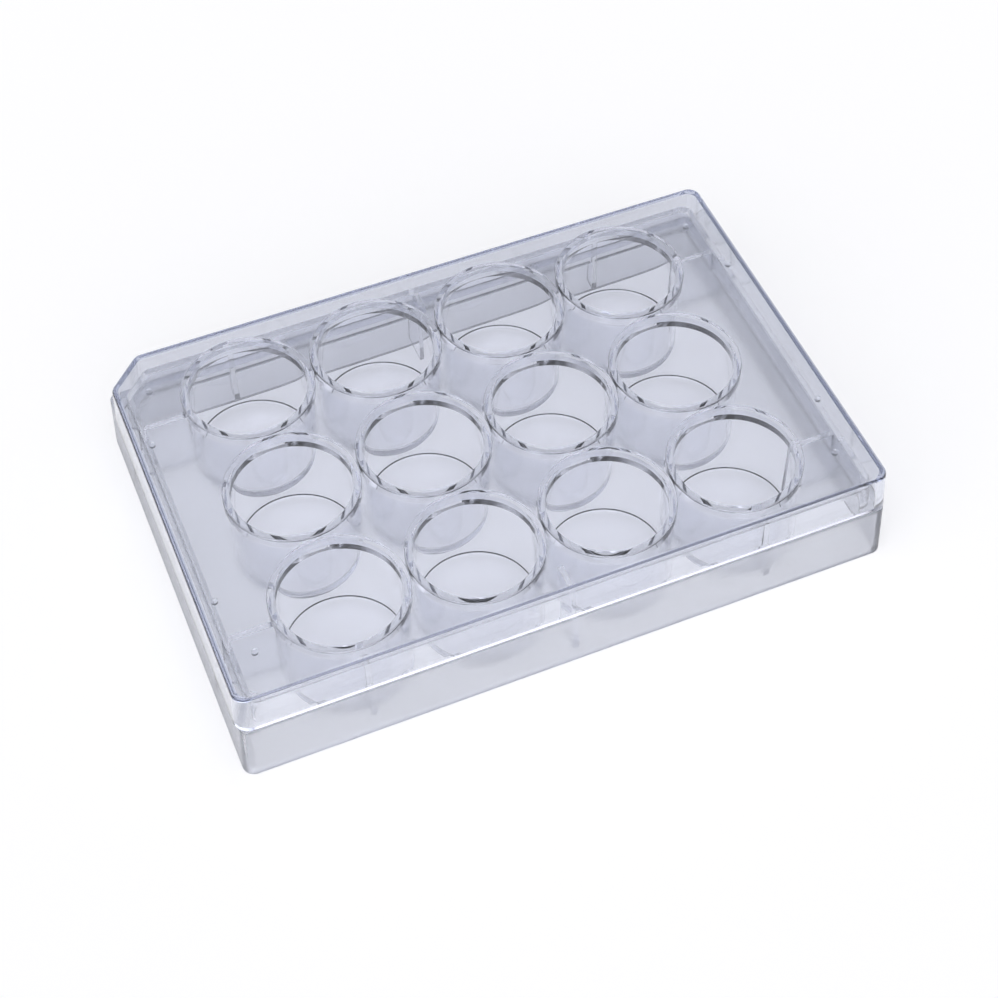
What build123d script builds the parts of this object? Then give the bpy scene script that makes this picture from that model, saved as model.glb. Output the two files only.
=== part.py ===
"""Twelve-well culture plate with its loose lid, both moulded in clear polystyrene.

Millimetres, +Z up. The origin is the centre of the footprint on the bench plane.
Columns 1-4 run along +X and rows A-C run from +Y to -Y, so well A1 is at -X +Y.
"""
import os
from math import sqrt

from build123d import *

# ---- well field -------------------------------------------------------------
columns = 4
rows = 3
bore_mouth_radius = 11.5
bore_taper = 0.3             # how much narrower a bore is at its floor
floor_corner_radius = 0.8
rim_wall = 1.4               # raised rim, from the bore outwards
rim_edge_radius = 0.35
rim_clearance = 0.2          # between neighbouring rims; gives a pitch of 26
cup_wall = 0.9
cup_foot_edge_radius = 0.6
rim_height = 20.6            # top of the rims above the bench
rim_rise = 2.1               # rims above the deck
well_depth = 17.5            # rim to inside floor
floor_thickness = 1.3

# ---- plate body -------------------------------------------------------------
end_margin = 11.98           # outer rims to the footprint; gives a length of 127.76
side_margin = 3.84           # the same on the long sides; gives a width of 85.48
foot_corner_radius = 2.3
skirt_height = 12.5          # bench to the ledge that runs round the plate
skirt_draft = 2.6            # degrees
skirt_wall = 1.4
skirt_inner_corner_radius = 1.2
ledge_thickness = 1.3
ledge_edge_radius = 0.3
collar_step = 2.6            # footprint to the collar outline at the ledge
collar_draft = 3.0
collar_wall = 1.2
collar_corner_radius = 2.6
deck_thickness = 1.2
deck_edge_radius = 0.35
corner_cut = 6.8             # slant beside well A1, as it would cut the footprint

# ---- ribs under the deck ----------------------------------------------------
rib_thickness = 1.1
rib_foot = 4.2               # lower end of the ribs beside the corner wells
centre_rib_foot = 2.8
centre_rib_length = 4.5
bite = 0.3                   # how far a rib or a pip runs into the wall that carries it

# ---- lid --------------------------------------------------------------------
lid_step_x = 0.05            # footprint to the lower edge of the lid, short sides
lid_step_y = 0.5             # the same on the long sides
lid_draft = 3.9
lid_wall = 1.1
lid_top_thickness = 1.2
lid_rim_gap = 0.1            # rims to the underside of the lid that lies on them
lid_ledge_gap = 0.7          # ledge to the lower edge of the lid
lid_corner_radius = 3.0
lid_edge_radius = 0.8
pip_radius = 0.6             # moulded pips on the underside, beside the outer wells
pip_height = 0.5
corner_pip_step_x = 7.18     # footprint to the pips in the corners
corner_pip_step_y = 10.54
side_pip_step_x = 3.98       # footprint to the pips along the short sides
side_pip_step_y = 23.44

# ---- sizes that follow ------------------------------------------------------
rim_radius = bore_mouth_radius + rim_wall
well_pitch = 2 * rim_radius + rim_clearance
bore_floor_radius = bore_mouth_radius - bore_taper
cup_top_radius = bore_mouth_radius + cup_wall
cup_foot_radius = bore_floor_radius + cup_wall
floor_height = rim_height - well_depth
cup_foot_height = floor_height - floor_thickness
deck_height = rim_height - rim_rise
deck_underside = deck_height - deck_thickness
ledge_underside = skirt_height - ledge_thickness
collar_inner_step = collar_step + collar_wall
lid_underside = rim_height + lid_rim_gap
lid_top = lid_underside + lid_top_thickness
lid_edge = skirt_height + lid_ledge_gap
end_column_x = (columns - 1) * well_pitch / 2
end_row_y = (rows - 1) * well_pitch / 2
half_length = end_column_x + rim_radius + end_margin
half_width = end_row_y + rim_radius + side_margin
on_foot = (Align.CENTER, Align.CENTER, Align.MIN)


def outline(step_x, step_y, radius, slanted=False):
    """The footprint stepped inwards. A slanted one has its corner beside A1 cut off,
    and that edge steps in by step_y square to itself, so stepped slants are parallel."""
    x = half_length - step_x
    y = half_width - step_y
    if slanted:
        cut = corner_cut - step_x + (sqrt(2) - 1) * step_y
        last_corner = [(-x + cut, y), (-x, y - cut)]
    else:
        last_corner = [(-x, y)]
    with BuildSketch(mode=Mode.PRIVATE) as sketch:
        with BuildLine():
            Polyline((-x, -y), (x, -y), (x, y), *last_corner, close=True)
        make_face()
        fillet(sketch.vertices(), radius)
    return sketch.sketch


def mirrored(x, y, z):
    """The four places that a point has when it is mirrored left-right and front-back."""
    return Locations(*[(sx * x, sy * y, z) for sx in (-1, 1) for sy in (-1, 1)])


# ---- one cup, and the bore that empties it ----------------------------------
with BuildPart() as cup:
    with BuildSketch(Plane.XZ):
        with BuildLine():
            Polyline(
                (0, cup_foot_height),
                (cup_foot_radius, cup_foot_height),
                (cup_top_radius, deck_underside),
                (rim_radius, deck_underside),
                (rim_radius, rim_height),
                (0, rim_height),
                close=True,
            )
        make_face()
    revolve(axis=Axis.Z)
    cup_rings = cup.edges().filter_by(GeomType.CIRCLE).group_by(Axis.Z)
    fillet(cup_rings[0], cup_foot_edge_radius)
    cup_rings = cup.edges().filter_by(GeomType.CIRCLE).group_by(Axis.Z)
    fillet(cup_rings[-1], rim_edge_radius)

with BuildPart() as bore:
    with BuildSketch(Plane.XZ):
        with BuildLine():
            Polyline(
                (0, floor_height),
                (bore_floor_radius, floor_height),
                (bore_mouth_radius, rim_height),
                (0, rim_height),
                close=True,
            )
        make_face()
    revolve(axis=Axis.Z)
    bore_rings = bore.edges().filter_by(GeomType.CIRCLE).group_by(Axis.Z)
    fillet(bore_rings[0], floor_corner_radius)

# ---- plate ------------------------------------------------------------------
with BuildPart() as plate:
    # Skirt, leaning in slightly from the foot up to the ledge.
    with BuildSketch():
        add(outline(0, 0, foot_corner_radius))
    extrude(amount=skirt_height, taper=skirt_draft)
    fillet(plate.faces().sort_by(Axis.Z)[-1].edges(), ledge_edge_radius)
    # Collar that the lid fits round, with the slanted corner.
    with BuildSketch(Plane.XY.offset(skirt_height)):
        add(outline(collar_step, collar_step, collar_corner_radius, slanted=True))
    extrude(amount=deck_height - skirt_height, taper=collar_draft)
    fillet(plate.faces().sort_by(Axis.Z)[-1].edges(), deck_edge_radius)
    # Hollow the body from below, first inside the skirt and then inside the collar.
    with BuildSketch():
        add(outline(skirt_wall, skirt_wall, skirt_inner_corner_radius))
    extrude(amount=ledge_underside, taper=skirt_draft, mode=Mode.SUBTRACT)
    with BuildSketch(Plane.XY.offset(ledge_underside)):
        inner_radius = collar_corner_radius - collar_wall / 2
        add(outline(collar_inner_step, collar_inner_step, inner_radius, slanted=True))
    extrude(amount=deck_underside - ledge_underside, taper=collar_draft, mode=Mode.SUBTRACT)

    # Ribs beside the corner wells and in the middle of the long sides. Each one
    # reaches the skirt below the ledge and the collar above it.
    well_side_x = end_column_x + cup_foot_radius - bite
    well_side_y = end_row_y + cup_foot_radius - bite
    spans = [(skirt_wall, ledge_underside + bite), (collar_inner_step, deck_underside + bite)]
    for step, top in spans:
        wall_x = half_length - step
        wall_y = half_width - step
        length_x = wall_x - well_side_x
        length_y = wall_y - well_side_y
        with mirrored(wall_x - length_x / 2, end_row_y, rib_foot):
            Box(length_x, rib_thickness, top - rib_foot, align=on_foot)
        with mirrored(end_column_x, wall_y - length_y / 2, rib_foot):
            Box(rib_thickness, length_y, top - rib_foot, align=on_foot)
        with mirrored(0, wall_y - centre_rib_length / 2, centre_rib_foot):
            Box(rib_thickness, centre_rib_length, top - centre_rib_foot, align=on_foot)

    # Wells: a raised rim on the deck and a drafted cup below it, then the bores.
    with GridLocations(well_pitch, well_pitch, columns, rows):
        add(cup.part)
    with GridLocations(well_pitch, well_pitch, columns, rows):
        add(bore.part, mode=Mode.SUBTRACT)

# ---- lid --------------------------------------------------------------------
with BuildPart() as lid:
    with BuildSketch(Plane.XY.offset(lid_edge)):
        add(outline(lid_step_x, lid_step_y, lid_corner_radius, slanted=True))
    extrude(amount=lid_top - lid_edge, taper=lid_draft)
    fillet(lid.faces().sort_by(Axis.Z)[-1].edges(), lid_edge_radius)
    # Hollow it from below.
    with BuildSketch(Plane.XY.offset(lid_edge)):
        inner_radius = lid_corner_radius - lid_wall / 2
        add(outline(lid_step_x + lid_wall, lid_step_y + lid_wall, inner_radius, slanted=True))
    extrude(amount=lid_underside - lid_edge, taper=lid_draft, mode=Mode.SUBTRACT)
    pip_steps = [(corner_pip_step_x, corner_pip_step_y), (side_pip_step_x, side_pip_step_y)]
    for step_x, step_y in pip_steps:
        with mirrored(half_length - step_x, half_width - step_y, lid_underside - pip_height):
            Cylinder(pip_radius, pip_height + bite, align=on_foot)

# ---- export -----------------------------------------------------------------
plate.part.label = "plate"
lid.part.label = "lid"
os.makedirs("parts", exist_ok=True)
export_step(plate.part, "parts/plate.step")
export_step(lid.part, "parts/lid.step")
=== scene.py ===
"""Looks of the twelve-well plate: clear polystyrene on a plain pale floor in soft studio light."""
from math import atan, cos, pi, radians, sin, sqrt, tan

import bmesh
import bpy
from mathutils import Matrix, Vector


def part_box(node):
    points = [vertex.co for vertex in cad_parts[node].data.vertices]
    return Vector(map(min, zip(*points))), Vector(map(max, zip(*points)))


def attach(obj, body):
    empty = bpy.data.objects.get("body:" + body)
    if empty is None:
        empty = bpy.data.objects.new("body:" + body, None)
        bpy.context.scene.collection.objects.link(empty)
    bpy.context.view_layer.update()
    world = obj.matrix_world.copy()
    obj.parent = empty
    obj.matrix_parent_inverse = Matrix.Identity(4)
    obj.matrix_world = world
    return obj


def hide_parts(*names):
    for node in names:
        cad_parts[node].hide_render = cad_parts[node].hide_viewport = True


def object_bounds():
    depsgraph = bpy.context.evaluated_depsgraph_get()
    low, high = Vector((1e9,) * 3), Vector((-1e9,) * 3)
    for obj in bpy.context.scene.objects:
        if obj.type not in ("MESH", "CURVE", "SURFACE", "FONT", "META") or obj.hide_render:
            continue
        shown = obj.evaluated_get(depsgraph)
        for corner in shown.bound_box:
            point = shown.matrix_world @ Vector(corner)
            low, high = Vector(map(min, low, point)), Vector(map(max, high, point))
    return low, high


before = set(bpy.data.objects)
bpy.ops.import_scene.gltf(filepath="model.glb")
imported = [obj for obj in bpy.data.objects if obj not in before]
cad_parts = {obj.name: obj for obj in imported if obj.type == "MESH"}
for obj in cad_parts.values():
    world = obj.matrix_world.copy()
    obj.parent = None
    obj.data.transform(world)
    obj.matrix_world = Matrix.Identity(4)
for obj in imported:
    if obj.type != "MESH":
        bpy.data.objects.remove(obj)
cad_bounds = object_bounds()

mm = 0.001

# ---- sizes read from the frame ----------------------------------------------
plate_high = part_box("plate")[1]
lid_low, lid_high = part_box("lid")
half_length = plate_high.x
half_width = plate_high.y
rim_height = plate_high.z
lid_top = lid_high.z
lid_edge = lid_low.z
lid_step_x = half_length - lid_high.x
lid_step_y = half_width - lid_high.y

# ---- sizes of the mouldings, as they were built -----------------------------
columns = 4
rows = 3
well_pitch = 26 * mm
bore_mouth_radius = 11.5 * mm
bore_floor_radius = 11.2 * mm
floor_corner_radius = 0.8 * mm
rim_wall = 1.4 * mm
rim_edge_radius = 0.35 * mm
rim_rise = 2.1 * mm
cup_wall = 0.9 * mm
cup_foot_edge_radius = 0.6 * mm
well_depth = 17.5 * mm
floor_thickness = 1.3 * mm
foot_corner_radius = 2.3 * mm
skirt_height = 12.5 * mm
skirt_draft = radians(2.6)
skirt_wall = 1.4 * mm
skirt_inner_corner_radius = 1.2 * mm
ledge_thickness = 1.3 * mm
ledge_edge_radius = 0.3 * mm
collar_step = 2.6 * mm
collar_draft = radians(3.0)
collar_wall = 1.2 * mm
collar_corner_radius = 2.6 * mm
deck_thickness = 1.2 * mm
deck_edge_radius = 0.35 * mm
corner_cut = 6.8 * mm
rib_thickness = 1.1 * mm
rib_foot = 4.2 * mm
centre_rib_foot = 2.8 * mm
centre_rib_length = 4.5 * mm
bite = 0.3 * mm
lid_draft = radians(3.9)
lid_wall = 1.1 * mm
lid_top_thickness = 1.2 * mm
lid_corner_radius = 3.0 * mm
lid_edge_radius = 0.8 * mm
pip_radius = 0.6 * mm
pip_height = 0.5 * mm
pip_steps = [(7.18 * mm, 10.54 * mm), (3.98 * mm, 23.44 * mm)]

rim_radius = bore_mouth_radius + rim_wall
deck_height = rim_height - rim_rise
deck_underside = deck_height - deck_thickness
ledge_underside = skirt_height - ledge_thickness
collar_inner_step = collar_step + collar_wall
cup_top_radius = bore_mouth_radius + cup_wall
cup_foot_radius = bore_floor_radius + cup_wall
floor_height = rim_height - well_depth
cup_foot_height = floor_height - floor_thickness
end_column_x = (columns - 1) * well_pitch / 2
end_row_y = (rows - 1) * well_pitch / 2

# ---- fineness of the meshes -------------------------------------------------
ring_steps = 288
corner_steps = 12
fillet_steps = 5
smooth_angle = radians(32)   # sharper edges than this stay sharp


# ---- mesh tools -------------------------------------------------------------
def outline(step_x, step_y, radius, slanted=False):
    """The footprint stepped inwards, counter-clockwise, with round corners. A slanted
    one has its corner beside A1 cut off, and that edge steps in by step_y."""
    x = half_length - step_x
    y = half_width - step_y
    corners = [Vector((-x, -y)), Vector((x, -y)), Vector((x, y))]
    if slanted:
        cut = corner_cut - step_x + (sqrt(2) - 1) * step_y
        corners += [Vector((-x + cut, y)), Vector((-x, y - cut))]
    else:
        corners += [Vector((-x, y))]
    points = []
    for i, corner in enumerate(corners):
        back = (corners[i - 1] - corner).normalized()
        ahead = (corners[(i + 1) % len(corners)] - corner).normalized()
        half_angle = back.angle(ahead) / 2
        centre = corner + (back + ahead).normalized() * radius / sin(half_angle)
        spoke = corner + back * radius / tan(half_angle) - centre
        turn = (pi - 2 * half_angle) / corner_steps
        points += [centre + Matrix.Rotation(turn * k, 2) @ spoke for k in range(corner_steps + 1)]
    return points


def add_ring(bm, points, z):
    return [bm.verts.new((p[0], p[1], z)) for p in points]


def circle(centre, radius):
    angles = [2 * pi * k / ring_steps for k in range(ring_steps)]
    return [(centre[0] + radius * cos(a), centre[1] + radius * sin(a)) for a in angles]


def bridge(bm, rings):
    """A wall of quads from each ring to the next."""
    for low, high in zip(rings, rings[1:]):
        for i in range(len(low)):
            j = (i + 1) % len(low)
            bm.faces.new((low[i], low[j], high[j], high[i]))


def fill(bm, *rings):
    """A flat face inside the first ring, with the other rings as its holes."""
    edges = []
    for ring in rings:
        for i in range(len(ring)):
            pair = (ring[i - 1], ring[i])
            edges.append(bm.edges.get(pair) or bm.edges.new(pair))
    bmesh.ops.triangle_fill(bm, use_beauty=True, use_dissolve=False, edges=edges)


def edge_arc(step, radius):
    """How a rounded top edge steps in and drops, from the wall (first) to the flat."""
    turns = [pi / 2 * k / fillet_steps for k in range(fillet_steps + 1)]
    return [(step + radius * (1 - cos(t)), -radius * (1 - sin(t))) for t in turns]


def foot_arc(low_radius, high_radius, low, high, radius):
    """Radius and height along a fillet between a drafted round wall and the flat below it."""
    draft = atan((high_radius - low_radius) / (high - low))
    middle_z = low + radius
    middle_r = low_radius + (middle_z - low) * tan(draft) - radius / cos(draft)
    turns = [draft + (pi / 2 - draft) * k / fillet_steps for k in range(fillet_steps + 1)]
    return [(middle_r + radius * cos(t), middle_z - radius * sin(t)) for t in turns]


def finish_mesh(bm, name):
    """Makes the object, with its faces turned outwards."""
    bmesh.ops.recalc_face_normals(bm, faces=bm.faces)
    mesh = bpy.data.meshes.new(name)
    bm.to_mesh(mesh)
    bm.free()
    piece = bpy.data.objects.new(name, mesh)
    bpy.context.scene.collection.objects.link(piece)
    return piece


def shade(piece):
    """Smooth shading between sharp edges, with flat faces kept flat."""
    for polygon in piece.data.polygons:
        polygon.use_smooth = True
    piece.data.set_sharp_from_angle(angle=smooth_angle)
    weighted = piece.modifiers.new("flat_faces_stay_flat", "WEIGHTED_NORMAL")
    weighted.keep_sharp = True


# ---- the plate --------------------------------------------------------------
def well_places():
    for row in range(rows):
        for column in range(columns):
            yield (column * well_pitch - end_column_x, end_row_y - row * well_pitch)


def add_walls(bm):
    """Skirt, ledge, collar and their hollow side. Returns the rings round both deck faces."""
    rise = skirt_height - ledge_edge_radius
    lean = rise * tan(skirt_draft)
    outside = [add_ring(bm, outline(0, 0, foot_corner_radius), 0)]
    for step, drop in edge_arc(lean, ledge_edge_radius):
        points = outline(step, step, foot_corner_radius - step)
        outside.append(add_ring(bm, points, skirt_height + drop))
    bridge(bm, outside)
    points = outline(collar_step, collar_step, collar_corner_radius, True)
    collar_foot = add_ring(bm, points, skirt_height)
    fill(bm, outside[-1], collar_foot)
    lean = (deck_height - deck_edge_radius - skirt_height) * tan(collar_draft)
    collar = [collar_foot]
    for step, drop in edge_arc(lean, deck_edge_radius):
        step_in = collar_step + step
        radius = collar_corner_radius - step
        collar.append(add_ring(bm, outline(step_in, step_in, radius, True), deck_height + drop))
    bridge(bm, collar)
    lean = ledge_underside * tan(skirt_draft)
    step = skirt_wall
    radius = skirt_inner_corner_radius
    inner = [
        add_ring(bm, outline(step, step, radius), 0),
        add_ring(bm, outline(step + lean, step + lean, radius - lean), ledge_underside),
    ]
    bridge(bm, inner)
    fill(bm, outside[0], inner[0])
    lean = (deck_underside - ledge_underside) * tan(collar_draft)
    step = collar_inner_step
    radius = collar_corner_radius - collar_wall / 2
    upper = [
        add_ring(bm, outline(step, step, radius, True), ledge_underside),
        add_ring(bm, outline(step + lean, step + lean, radius - lean, True), deck_underside),
    ]
    bridge(bm, upper)
    fill(bm, inner[1], upper[0])
    return collar[-1], upper[1]


def add_well(bm, centre):
    """One well. Returns the rings where it meets the top and the underside of the deck."""
    profile = [(rim_radius, deck_height)]
    rounding = edge_arc(0, rim_edge_radius)
    profile += [(rim_radius - step, rim_height + drop) for step, drop in rounding]
    profile += [(bore_mouth_radius, rim_height)]
    profile += foot_arc(
        bore_floor_radius, bore_mouth_radius, floor_height, rim_height, floor_corner_radius
    )
    rings = [add_ring(bm, circle(centre, r), z) for r, z in profile]
    bridge(bm, rings)
    bm.faces.new(rings[-1])
    under = [(cup_top_radius, deck_underside)]
    under += foot_arc(
        cup_foot_radius, cup_top_radius, cup_foot_height, deck_underside, cup_foot_edge_radius
    )
    cup = [add_ring(bm, circle(centre, r), z) for r, z in under]
    bridge(bm, cup)
    bm.faces.new(cup[-1])
    return rings[0], cup[0]


def add_rib(bm, centre, outward, inner, foot):
    """A rib that runs outwards to the skirt below the ledge and to the collar above it."""
    across = Vector((-outward[1], outward[0])) * rib_thickness / 2
    reach = Vector(outward)
    edge = half_length if outward[0] else half_width
    low_wall = edge - skirt_wall
    high_wall = edge - collar_inner_step
    top = deck_underside + bite
    profile = [(inner, foot), (low_wall, foot), (low_wall, ledge_underside + bite)]
    profile += [(high_wall, ledge_underside + bite), (high_wall, top), (inner, top)]
    sides = []
    for side in (-1, 1):
        points = [Vector(centre) + reach * distance + side * across for distance, z in profile]
        sides.append([bm.verts.new((p.x, p.y, z)) for p, (distance, z) in zip(points, profile)])
    bridge(bm, sides)
    bm.faces.new(sides[0])
    bm.faces.new(sides[1])


def make_ribs():
    """The ribs beside the corner wells and in the middle of the long sides."""
    bm = bmesh.new()
    cup_side = cup_foot_radius - bite
    for sy in (-1, 1):
        for sx in (-1, 1):
            add_rib(bm, (0, sy * end_row_y), (sx, 0), end_column_x + cup_side, rib_foot)
            add_rib(bm, (sx * end_column_x, 0), (0, sy), end_row_y + cup_side, rib_foot)
        inner = half_width - collar_inner_step - centre_rib_length
        add_rib(bm, (0, 0), (0, sy), inner, centre_rib_foot)
    return finish_mesh(bm, "ribs")


def make_plate():
    bm = bmesh.new()
    deck_outline, underside_outline = add_walls(bm)
    pairs = [add_well(bm, centre) for centre in well_places()]
    fill(bm, deck_outline, *[top for top, under in pairs])
    fill(bm, underside_outline, *[under for top, under in pairs])
    plate = finish_mesh(bm, "clear_plate")
    ribs = make_ribs()
    join = plate.modifiers.new("ribs", "BOOLEAN")
    join.operation = "UNION"
    join.solver = "MANIFOLD"
    join.object = ribs
    bpy.context.view_layer.objects.active = plate
    bpy.ops.object.modifier_apply(modifier=join.name)
    bpy.data.objects.remove(ribs)
    shade(plate)
    return plate


# ---- the lid ----------------------------------------------------------------
def make_lid():
    bm = bmesh.new()
    lean = (lid_top - lid_edge_radius - lid_edge) * tan(lid_draft)
    outside = [add_ring(bm, outline(lid_step_x, lid_step_y, lid_corner_radius, True), lid_edge)]
    for step, drop in edge_arc(lean, lid_edge_radius):
        points = outline(lid_step_x + step, lid_step_y + step, lid_corner_radius - step, True)
        outside.append(add_ring(bm, points, lid_top + drop))
    bridge(bm, outside)
    bm.faces.new(outside[-1])
    underside = lid_top - lid_top_thickness
    lean = (underside - lid_edge) * tan(lid_draft)
    step_x = lid_step_x + lid_wall
    step_y = lid_step_y + lid_wall
    radius = lid_corner_radius - lid_wall / 2
    inside = [
        add_ring(bm, outline(step_x, step_y, radius, True), lid_edge),
        add_ring(bm, outline(step_x + lean, step_y + lean, radius - lean, True), underside),
    ]
    bridge(bm, inside)
    fill(bm, outside[0], inside[0])
    pips = []
    for pip_step_x, pip_step_y in pip_steps:
        for sx in (-1, 1):
            for sy in (-1, 1):
                centre = (sx * (half_length - pip_step_x), sy * (half_width - pip_step_y))
                heights = (underside, underside - pip_height)
                pip = [add_ring(bm, circle(centre, pip_radius), z) for z in heights]
                bridge(bm, pip)
                bm.faces.new(pip[1])
                pips.append(pip[0])
    fill(bm, inside[1], *pips)
    lid = finish_mesh(bm, "clear_lid")
    shade(lid)
    return lid


# ---- view, in metres and degrees --------------------------------------------
view_azimuth = -23.05        # 0 looks along +Y
view_elevation = 49.71
view_distance = 0.4355       # camera to the point it aims at
aim_offset = (0.0176, 0.0169)   # aim point on the floor, from the middle of the plate
lens_mm = 77.44
sensor_mm = 36.0
frame_shift = (-0.0398, -0.0961)
nearest_seen = 0.01

# ---- studio -----------------------------------------------------------------
# Each part of the dome: turn from the camera's side (negative is to its left), height above
# the horizon, the angles round that direction where it starts and ends to fall off, and the
# level beyond and within them.
floor_size = 12.0
floor_drop = 0.2 * mm        # floor below the foot of the plate
floor_grey = 0.97
floor_glow_share = 0.4       # of the white that is seen directly, as a glow of its own
dome_colour = (1.0, 1.0, 1.04)
overhead = (0.0, 60.0, (30.0, 90.0), 0.1, 0.6)
front = (-10.0, 8.0, (25.0, 80.0), 0.0, 1.2)
zenith = (0.0, 80.0, (20.0, 40.0), 0.0, 1.15)

# ---- clear polystyrene ------------------------------------------------------
# Each list is for three zones of the plate: the cups, rims, ribs and collar, then the deck,
# then the outside of the skirt. The deck's and the skirt's darker tints are painted shade:
# they stand for the darker floor and surroundings seen through those parts, not a different
# plastic.
polystyrene_ior = 1.59
plate_tints_and_painted_shade = [(0.966, 0.97, 0.989), (0.948, 0.957, 0.987), (0.61, 0.628, 0.684)]
plate_roughnesses = [0.0, 0.18, 0.33]
lid_tint = (0.928, 0.935, 0.956)
lid_roughness = 0.0
absorption_tint = (0.0, 0.12, 0.50)
plate_density = 4.0          # per metre
lid_density = 45.0
flow_wave_size = 16 * mm     # length of the faint waves that the mould flow leaves
flow_wave_height = 0.012 * mm
flow_wave_detail = 0.0
flow_tint = (0.985, 1)       # factor on the tint, from a wave's trough to its crest
grain_size = 0.9 * mm        # grain in the roughness of the satin faces
grain_detail = 1.0
grain_range = (0.85, 1.15)   # factor on the roughness
noise_range = (0.3, 0.7)     # part of the noise's range that the factors follow
deck_share = 0.5             # where the deck lies between the cups (0) and the skirt (1)
rim_zone = (0.05 * mm, 0.35 * mm)    # where the cups' value ends, outside the rims
skirt_zone = (-1 * mm, -0.8 * mm)    # where the skirt's value starts, from the footprint
deck_zone = (-0.3 * mm, -0.1 * mm)   # where the deck's value starts, from its underside

# ---- rays -------------------------------------------------------------------
plastic_bounces = 32         # a ray in clear plastic needs many
mirror_bounces = 12
transparent_bounces = 48


def place_camera():
    """The camera at the viewing angle, aimed beside the middle of the plate."""
    low, high = cad_bounds
    aim_x = (low.x + high.x) / 2 + aim_offset[0]
    aim_y = (low.y + high.y) / 2 + aim_offset[1]
    aim = Vector((aim_x, aim_y, low.z))
    azimuth = radians(view_azimuth)
    elevation = radians(view_elevation)
    back = Vector((sin(azimuth) * cos(elevation), -cos(azimuth) * cos(elevation), sin(elevation)))
    data = bpy.data.cameras.new("view")
    data.lens = lens_mm
    data.sensor_width = sensor_mm
    data.shift_x, data.shift_y = frame_shift
    data.clip_start = nearest_seen
    camera = bpy.data.objects.new("view", data)
    camera.location = aim + view_distance * back
    camera.rotation_mode = "QUATERNION"
    camera.rotation_quaternion = (-back).to_track_quat("-Z", "Y")
    bpy.context.scene.collection.objects.link(camera)
    bpy.context.scene.camera = camera


def seen_directly(nodes, links):
    """1 for rays from the camera, a mirror or clear plastic, 0 for diffuse light and shadows."""
    path = nodes.new("ShaderNodeLightPath")
    total = path.outputs["Is Camera Ray"]
    for name in ("Is Glossy Ray", "Is Transmission Ray"):
        either = nodes.new("ShaderNodeMath")
        either.operation = "MAXIMUM"
        links.new(total, either.inputs[0])
        links.new(path.outputs[name], either.inputs[1])
        total = either.outputs[0]
    return total


def make_floor():
    """A white floor that keeps the plate's shadow."""
    height = cad_bounds[0].z - floor_drop
    bpy.ops.mesh.primitive_plane_add(size=floor_size, location=(0, 0, height))
    floor = bpy.context.object
    floor.name = "floor"
    material = bpy.data.materials.new("floor_white")
    material.use_nodes = True
    nodes, links = material.node_tree.nodes, material.node_tree.links
    nodes.clear()
    lit = nodes.new("ShaderNodeBsdfDiffuse")
    lit.inputs["Color"].default_value = (floor_grey,) * 3 + (1,)
    glow = nodes.new("ShaderNodeEmission")
    glow.inputs["Color"].default_value = (1, 1, 1, 1)
    glow.inputs["Strength"].default_value = 1.0
    share = nodes.new("ShaderNodeMath")
    share.operation = "MULTIPLY"
    share.inputs[1].default_value = floor_glow_share
    links.new(seen_directly(nodes, links), share.inputs[0])
    mix = nodes.new("ShaderNodeMixShader")
    links.new(share.outputs[0], mix.inputs["Fac"])
    links.new(lit.outputs[0], mix.inputs[1])
    links.new(glow.outputs[0], mix.inputs[2])
    out = nodes.new("ShaderNodeOutputMaterial")
    links.new(mix.outputs[0], out.inputs["Surface"])
    floor.data.materials.append(material)


def dome_light(nodes, links, turn, tilt, edge, low, high):
    """One part of the studio dome: brightest towards (turn, tilt), and falling off softly."""
    direction = nodes.new("ShaderNodeTexCoord")
    nearness = nodes.new("ShaderNodeVectorMath")
    nearness.operation = "DOT_PRODUCT"
    azimuth = radians(view_azimuth + turn)
    rise = radians(tilt)
    axis = (sin(azimuth) * cos(rise), -cos(azimuth) * cos(rise), sin(rise))
    nearness.inputs[1].default_value = axis
    links.new(direction.outputs["Generated"], nearness.inputs[0])
    fall = nodes.new("ShaderNodeMapRange")
    fall.interpolation_type = "SMOOTHSTEP"
    fall.inputs["From Min"].default_value = cos(radians(edge[1]))
    fall.inputs["From Max"].default_value = cos(radians(edge[0]))
    fall.inputs["To Min"].default_value = low
    fall.inputs["To Max"].default_value = high
    links.new(nearness.outputs["Value"], fall.inputs["Value"])
    background = nodes.new("ShaderNodeBackground")
    background.inputs["Color"].default_value = dome_colour + (1,)
    links.new(fall.outputs[0], background.inputs["Strength"])
    return background.outputs[0]


def make_world():
    """A studio dome: bright overhead and on the camera's side, dark low down behind the plate."""
    world = bpy.data.worlds.new("studio")
    bpy.context.scene.world = world
    world.use_nodes = True
    nodes, links = world.node_tree.nodes, world.node_tree.links
    nodes.clear()
    total = dome_light(nodes, links, *overhead)
    for part in (front, zenith):
        both = nodes.new("ShaderNodeAddShader")
        links.new(total, both.inputs[0])
        links.new(dome_light(nodes, links, *part), both.inputs[1])
        total = both.outputs[0]
    out = nodes.new("ShaderNodeOutputWorld")
    links.new(total, out.inputs["Surface"])


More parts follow.
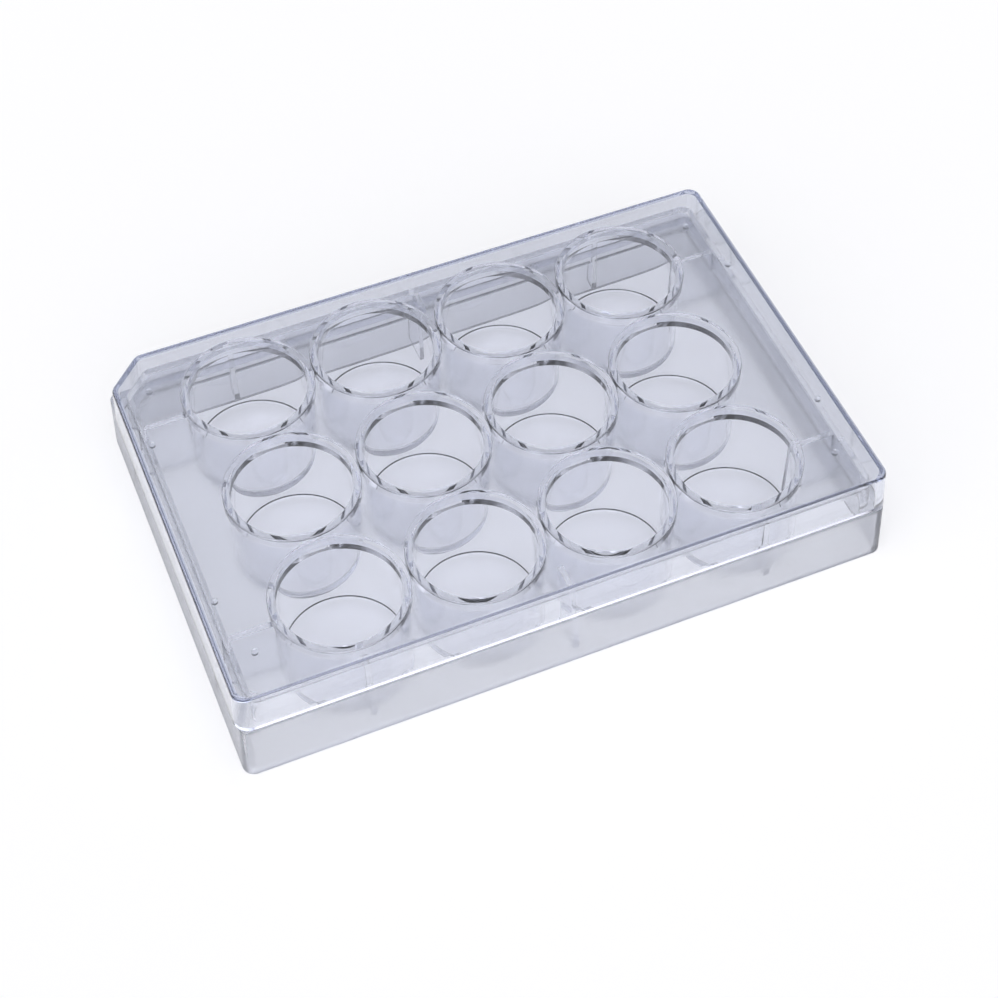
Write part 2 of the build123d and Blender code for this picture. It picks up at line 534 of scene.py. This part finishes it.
def zone_share(nodes, links):
    """Where a point is: 0 on the cups, rims, ribs and collar, 0.5 on the deck, and 1 on the
    outside of the skirt."""
    coordinates = nodes.new("ShaderNodeTexCoord").outputs["Object"]

    def vector_math(operation, first, second=None):
        """second is an output or a constant."""
        node = nodes.new("ShaderNodeVectorMath")
        node.operation = operation
        links.new(first, node.inputs[0])
        if isinstance(second, tuple):
            node.inputs[1].default_value = second
        elif second is not None:
            links.new(second, node.inputs[1])
        return node.outputs["Value" if operation == "LENGTH" else "Vector"]

    def rise(source, start, zone):
        """From 0 to 1 over a zone measured from the start."""
        node = nodes.new("ShaderNodeMapRange")
        node.inputs["From Min"].default_value = start + zone[0]
        node.inputs["From Max"].default_value = start + zone[1]
        links.new(source, node.inputs["Value"])
        return node.outputs[0]

    # Distance from the axis of the nearest well.
    pitch = (well_pitch, well_pitch, 1)
    from_first = vector_math("SUBTRACT", coordinates, (-end_column_x, -end_row_y, 0))
    number = vector_math("ADD", vector_math("DIVIDE", from_first, pitch), (0.5, 0.5, 0))
    number = vector_math("FLOOR", number)
    number = vector_math("MAXIMUM", number, (0, 0, 0))
    number = vector_math("MINIMUM", number, (columns - 1, rows - 1, 0))
    offset = vector_math("SUBTRACT", from_first, vector_math("MULTIPLY", number, pitch))
    distance = vector_math("LENGTH", vector_math("MULTIPLY", offset, (1, 1, 0)))
    beyond_rim = rise(distance, rim_radius, rim_zone)

    # Distance from the footprint, negative inside it.
    footprint = (half_length, half_width, 0)
    beyond = vector_math("SUBTRACT", vector_math("ABSOLUTE", coordinates), footprint)
    sides = nodes.new("ShaderNodeSeparateXYZ")
    links.new(beyond, sides.inputs[0])
    farther = nodes.new("ShaderNodeMath")
    farther.operation = "MAXIMUM"
    links.new(sides.outputs["X"], farther.inputs[0])
    links.new(sides.outputs["Y"], farther.inputs[1])
    on_skirt = rise(farther.outputs[0], 0, skirt_zone)

    axes = nodes.new("ShaderNodeSeparateXYZ")
    links.new(coordinates, axes.inputs[0])
    on_deck = rise(axes.outputs["Z"], deck_underside, deck_zone)

    share = nodes.new("ShaderNodeMix")
    share.inputs["B"].default_value = deck_share
    links.new(on_deck, share.inputs["Factor"])
    links.new(on_skirt, share.inputs["A"])
    both = nodes.new("ShaderNodeMath")
    both.operation = "MULTIPLY"
    links.new(beyond_rim, both.inputs[0])
    links.new(share.outputs["Result"], both.inputs[1])
    return both.outputs[0]


def colour_ramp(nodes, links, source, places, colours):
    """Colours that follow the source, each at its own place from 0 to 1."""
    ramp = nodes.new("ShaderNodeValToRGB")
    elements = ramp.color_ramp.elements
    if len(places) > len(elements):
        elements.new(places[1])
    for element, place, colour in zip(elements, places, colours):
        element.position = place
        element.color = tuple(colour) + (1,)
    links.new(source, ramp.inputs[0])
    return ramp.outputs[0]


def noise(nodes, links, size, detail):
    """Object-space noise of the given size, from 0 to 1."""
    coordinates = nodes.new("ShaderNodeTexCoord")
    pattern = nodes.new("ShaderNodeTexNoise")
    pattern.inputs["Scale"].default_value = 1 / size
    pattern.inputs["Detail"].default_value = detail
    links.new(coordinates.outputs["Object"], pattern.inputs["Vector"])
    return pattern.outputs["Fac"]


def varied(nodes, links, colour, pattern, factors):
    """The colour times a factor that follows the pattern."""
    factor = nodes.new("ShaderNodeMapRange")
    factor.inputs["From Min"].default_value = noise_range[0]
    factor.inputs["From Max"].default_value = noise_range[1]
    factor.inputs["To Min"].default_value = factors[0]
    factor.inputs["To Max"].default_value = factors[1]
    links.new(pattern, factor.inputs["Value"])
    scaled = nodes.new("ShaderNodeVectorMath")
    scaled.operation = "SCALE"
    links.new(colour, scaled.inputs[0])
    links.new(factor.outputs[0], scaled.inputs["Scale"])
    return scaled.outputs[0]


def clear_polystyrene(name, has_zones, density):
    """Clear polystyrene with faint flow waves. The plate's has zones: polished cups, and
    a satin deck and skirt, and its deck and skirt get darker tints as painted shade.
    The lid's is polished all over."""
    material = bpy.data.materials.new(name)
    material.use_nodes = True
    nodes, links = material.node_tree.nodes, material.node_tree.links
    nodes.clear()
    plastic = nodes.new("ShaderNodeBsdfPrincipled")
    plastic.inputs["Transmission Weight"].default_value = 1.0
    plastic.inputs["IOR"].default_value = polystyrene_ior
    waves = noise(nodes, links, flow_wave_size, flow_wave_detail)
    if has_zones:
        share = zone_share(nodes, links)
        zones = (0, deck_share, 1)
        # on the plate the deck and skirt get darker tints than the cups: painted shade for the
        # darker floor and surroundings seen through them
        tint_and_any_painted_shade = colour_ramp(nodes, links, share, zones, plate_tints_and_painted_shade)
        tint_and_any_painted_shade = varied(nodes, links, tint_and_any_painted_shade, waves, flow_tint)
        grain = noise(nodes, links, grain_size, grain_detail)
        greys = [(roughness,) * 3 for roughness in plate_roughnesses]
        roughness = colour_ramp(nodes, links, share, zones, greys)
        roughness = varied(nodes, links, roughness, grain, grain_range)
        links.new(roughness, plastic.inputs["Roughness"])
    else:
        shades = [[factor * channel for channel in lid_tint] for factor in flow_tint]
        tint_and_any_painted_shade = colour_ramp(nodes, links, waves, noise_range, shades)
        plastic.inputs["Roughness"].default_value = lid_roughness
    links.new(tint_and_any_painted_shade, plastic.inputs["Base Color"])
    bump = nodes.new("ShaderNodeBump")
    bump.inputs["Distance"].default_value = flow_wave_height
    links.new(waves, bump.inputs["Height"])
    links.new(bump.outputs[0], plastic.inputs["Normal"])
    inside = nodes.new("ShaderNodeVolumeAbsorption")
    inside.inputs["Color"].default_value = absorption_tint + (1,)
    inside.inputs["Density"].default_value = density
    out = nodes.new("ShaderNodeOutputMaterial")
    links.new(plastic.outputs[0], out.inputs["Surface"])
    links.new(inside.outputs[0], out.inputs["Volume"])
    return material


def dress(piece, node, material):
    """Gives the piece its material and puts it in the place of a node."""
    piece.data.materials.clear()
    piece.data.materials.append(material)
    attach(piece, "root")
    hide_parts(node)


place_camera()
make_floor()
make_world()
# the plate's material darkens its deck and skirt with painted shade
dress(make_plate(), "plate", clear_polystyrene("plate_polystyrene_painted_shade", True, plate_density))
dress(make_lid(), "lid", clear_polystyrene("lid_polystyrene", False, lid_density))

scene = bpy.context.scene
scene.view_settings.view_transform = "Standard"
scene.cycles.max_bounces = plastic_bounces
scene.cycles.transmission_bounces = plastic_bounces
scene.cycles.glossy_bounces = mirror_bounces
scene.cycles.transparent_max_bounces = transparent_bounces
scene.cycles.caustics_refractive = True
scene.cycles.caustics_reflective = True
scene.cycles.blur_glossy = 0
scene.cycles.use_denoising = True
